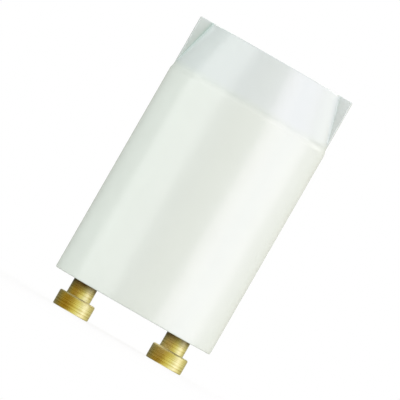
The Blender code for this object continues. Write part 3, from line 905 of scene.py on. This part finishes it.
def floor_finish(stage):
    """Pale floor: white to the camera, with a share of its lit surface near the starter for the shadow, and
    clear from below, so that the underside can be looked at. The share is whole up to shadow_near from the
    middle, and nothing from shadow_far on.
    """
    made = Finish("pale_floor")
    made.material.cycles.emission_sampling = "NONE"
    made.set(Base_Color=(stage.floor_white,) * 3 + (1.0,), Roughness=0.9)
    tree = made.tree
    shadow_near, shadow_far = 0.03, 0.15
    where = made.place()
    away = made.node("ShaderNodeVectorMath", {0: where}, operation="LENGTH").outputs["Value"]
    share = made.span(away, stage.shadow_share, 0.0, shadow_near, shadow_far)
    path = made.node("ShaderNodeLightPath")
    seen = made.calc("MAXIMUM", path.outputs["Is Camera Ray"], path.outputs["Is Transmission Ray"])
    glow = made.calc("MULTIPLY", made.calc("SUBTRACT", 1.0, share), seen)
    white = made.node("ShaderNodeEmission", {"Color": (*WHITE, 1.0), "Strength": 1.0})
    clear = made.node("ShaderNodeBsdfTransparent")
    lit = made.node("ShaderNodeMixShader", {0: glow})
    tree.links.new(made.shader.outputs[0], lit.inputs[1])
    tree.links.new(white.outputs[0], lit.inputs[2])
    back = made.node("ShaderNodeNewGeometry").outputs["Backfacing"]
    whole = made.node("ShaderNodeMixShader", {0: back})
    tree.links.new(lit.outputs[0], whole.inputs[1])
    tree.links.new(clear.outputs[0], whole.inputs[2])
    tree.links.new(whole.outputs[0], tree.nodes["Material Output"].inputs["Surface"])
    return made.material


def add_camera(stage):
    """A long lens that looks along +Y and is rolled, so that the starter leans in the picture."""
    data = bpy.data.cameras.new("camera")
    data.sensor_width = 36.0
    data.lens = data.sensor_width * stage.camera_distance / stage.frame_width
    data.clip_start = 0.1
    data.clip_end = 20.0
    camera = bpy.data.objects.new("camera", data)
    bpy.context.scene.collection.objects.link(camera)
    right = Vector((math.sin(stage.lean), 0, math.cos(stage.lean)))
    up = Vector((-math.cos(stage.lean), 0, math.sin(stage.lean)))
    back = Vector((0, -1, 0))
    turn = Matrix((right, up, back)).transposed()
    place = Vector((stage.aim_x, -stage.camera_distance, stage.aim_z))
    camera.matrix_world = Matrix.Translation(place) @ turn.to_4x4()
    bpy.context.scene.camera = camera


class STARTER_OT_stage(bpy.types.Operator):
    """Set up the floor, the lamps, the white room and the camera"""

    bl_idname = "starter.stage"
    bl_label = "Stage"

    def execute(self, context):
        stage = context.scene.starter_stage
        context.scene.view_settings.view_transform = "Standard"
        floor = flat_floor(stage.floor_size, floor_finish(stage))
        pins = [bpy.data.objects[f"{name}_turned"] for name in PINS]
        lamps = []
        for name, degrees, distance, level, width, height, tone in LAMPS:
            place = round_about(degrees, distance, level)
            power = getattr(stage, f"{name}_power")
            lamps.append(area_lamp(f"{name}_lamp", place, width, height, power, tone))
        depth, side = 0.5, 0.3
        low = area_lamp("low_lamp", (0, 0, -depth), side, side, stage.low_power)
        low.light_linking.blocker_collection = all_but("floor_let_through", [floor])
        pins_shaded = all_but("pins_shaded", pins)
        for lamp in lamps:
            lamp.light_linking.receiver_collection = pins_shaded
        outside = [bpy.data.objects["housing_skin"], *pins]
        low.light_linking.receiver_collection = all_but("outside_shaded", outside)
        round_card("surroundings", distance=0.8, height=3.2, tones=SURROUNDINGS)
        add_world(stage)
        add_camera(stage)
        return {"FINISHED"}


class STARTER_PT_panel(bpy.types.Panel):
    """The starter's pieces and stage"""

    bl_idname = "STARTER_PT_panel"
    bl_label = "Fluorescent starter"
    bl_space_type = "VIEW_3D"
    bl_region_type = "UI"
    bl_category = "Starter"

    def draw(self, context):
        for operator in OPERATORS:
            self.layout.operator(operator.bl_idname)


GROUPS = {
    "starter_housing": StarterHousing,
    "starter_pins": StarterPins,
    "starter_inside": StarterInside,
    "starter_stage": StarterStage,
}
OPERATORS = (STARTER_OT_housing, STARTER_OT_pins, STARTER_OT_inside, STARTER_OT_stage)


def register():
    for name, group in GROUPS.items():
        bpy.utils.register_class(group)
        setattr(bpy.types.Scene, name, PointerProperty(type=group))
    for found in (*OPERATORS, STARTER_PT_panel):
        bpy.utils.register_class(found)


def unregister():
    for found in (STARTER_PT_panel, *reversed(OPERATORS)):
        bpy.utils.unregister_class(found)
    for name, group in reversed(GROUPS.items()):
        delattr(bpy.types.Scene, name)
        bpy.utils.unregister_class(group)


def main():
    register()
    bpy.ops.starter.housing()
    bpy.ops.starter.pins()
    bpy.ops.starter.inside()
    bpy.ops.starter.stage()


if __name__ == "__main__":
    main()
